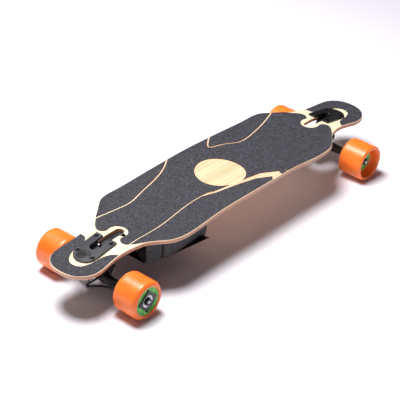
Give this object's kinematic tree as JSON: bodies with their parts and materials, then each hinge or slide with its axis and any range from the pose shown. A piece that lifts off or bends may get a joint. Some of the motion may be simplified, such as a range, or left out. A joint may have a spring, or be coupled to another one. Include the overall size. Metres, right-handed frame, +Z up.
{
  "type": "electric skateboard",
  "caption": "Electric longboard: cambered drop-through deck with grip tape, carving trucks, urethane wheels, two hub motors and a battery tray below.",
  "frame": {"origin": "on the ground under the middle of the board, where the wheels touch", "axes": "+X forward to the nose, +Y to the rider's left, +Z up"},
  "size_m": [0.974, 0.284, 0.1297],
  "materials": {
    "bamboo_core": "oiled",
    "black_steel": "black oxide",
    "board": "circuit board",
    "bushing": "cast urethane",
    "button": "satin",
    "cable": "jacket",
    "can": "e-coat",
    "cap_black": "satin",
    "cast_black": "semi-gloss black",
    "cell": "wrapped cell",
    "copper": "enamelled wire",
    "core_green": "moulded nylon",
    "cup": "cast urethane",
    "foam": "closed-cell foam",
    "grip": "grit, matt",
    "housing": "hard anodised",
    "light": "frosted",
    "maple_face": "clear lacquer",
    "plate_grey": "satin grey",
    "rubber_cap": "moulded",
    "spider_black": "moulded nylon",
    "stator": "laminated steel",
    "steel": "zinc plated",
    "tray": "moulded, fine texture",
    "tyre_orange": "cast urethane, soft gloss"
  },
  "bodies": {
    "deck": {"battery_board": "board", "battery_cells": "cell", "battery_tray": "tray", "bushing_washers": "steel", "charge_socket": "cap_black", "deck_bottom_ply": "maple_face", "deck_core": "bamboo_core", "deck_top_ply": "maple_face", "enclosure_gasket": "foam", "enclosure_screws": "black_steel", "esc_board": "board", "esc_bracket": "housing", "esc_housing": "housing", "front_baseplate": "cast_black", "front_lower_bushing": "bushing", "front_upper_bushing": "bushing", "grip_tape_main": "grip", "grip_tape_nose": "grip", "grip_tape_tail": "grip", "kingpin_nuts": "steel", "kingpins": "steel", "motor_cables": "cable", "motor_plugs": "cap_black", "mount_bolts": "black_steel", "mount_nuts": "steel", "pivot_cups": "cup", "power_light": "light", "rear_baseplate": "plate_grey", "rear_lower_bushing": "bushing", "rear_plate_cap": "cap_black", "rear_upper_bushing": "bushing"},
    "front_hanger": {"front_hanger": "cast_black", "front_axle": "steel", "front_axle_nuts": "black_steel"},
    "rear_hanger": {"rear_hanger": "cast_black", "rear_axle": "steel", "rear_axle_nuts": "black_steel", "motor_stators": "stator", "motor_windings": "copper"},
    "power_button": {"power_button": "button"},
    "charge_cap": {"charge_cap": "rubber_cap"},
    "front_left_wheel": {"front_left_tyre": "tyre_orange", "front_left_core": "core_green", "front_left_bearings": "steel"},
    "front_right_wheel": {"front_right_tyre": "tyre_orange", "front_right_core": "core_green", "front_right_bearings": "steel"},
    "rear_left_wheel": {"rear_left_tyre": "tyre_orange", "rear_left_core": "core_green", "rear_left_bearings": "steel", "rear_left_rotor": "can", "rear_left_spider": "spider_black"},
    "rear_right_wheel": {"rear_right_tyre": "tyre_orange", "rear_right_core": "core_green", "rear_right_bearings": "steel", "rear_right_rotor": "can", "rear_right_spider": "spider_black"}
  },
  "joints": [
    {"name": "front_steer", "type": "hinge", "parent": "deck", "child": "front_hanger", "pos_m": [0.3723, 0, 0.04858], "axis": [0.7604, 0, 0.6494], "range_deg": [-20, 20], "stiffness_Nm_per_rad": 40, "deforming": ["front_upper_bushing", "front_lower_bushing"]},
    {"name": "rear_steer", "type": "hinge", "parent": "deck", "child": "rear_hanger", "pos_m": [-0.3723, 0, 0.04858], "axis": [-0.7604, 0, 0.6494], "range_deg": [-20, 20], "stiffness_Nm_per_rad": 40, "deforming": ["rear_upper_bushing", "rear_lower_bushing", "motor_cables"]},
    {"name": "front_left_spin", "type": "hinge", "parent": "front_hanger", "child": "front_left_wheel", "pos_m": [0.3775, 0.109, 0.0425], "axis": [0, 1, 0], "continuous": true},
    {"name": "front_right_spin", "type": "hinge", "parent": "front_hanger", "child": "front_right_wheel", "pos_m": [0.3775, -0.109, 0.0425], "axis": [0, 1, 0], "continuous": true},
    {"name": "rear_left_spin", "type": "hinge", "parent": "rear_hanger", "child": "rear_left_wheel", "pos_m": [-0.3775, 0.109, 0.0425], "axis": [0, 1, 0], "continuous": true},
    {"name": "rear_right_spin", "type": "hinge", "parent": "rear_hanger", "child": "rear_right_wheel", "pos_m": [-0.3775, -0.109, 0.0425], "axis": [0, 1, 0], "continuous": true},
    {"name": "power_button_press", "type": "slide", "parent": "deck", "child": "power_button", "axis": [0, 1, 0], "range_m": [0, 0.001], "stiffness_N_per_m": 1500},
    {"name": "charge_cap_hinge", "type": "hinge", "parent": "deck", "child": "charge_cap", "pos_m": [-0.1535, 0.0793, 0.0648], "axis": [-1, 0, 0], "range_deg": [0, 120]}
  ]
}
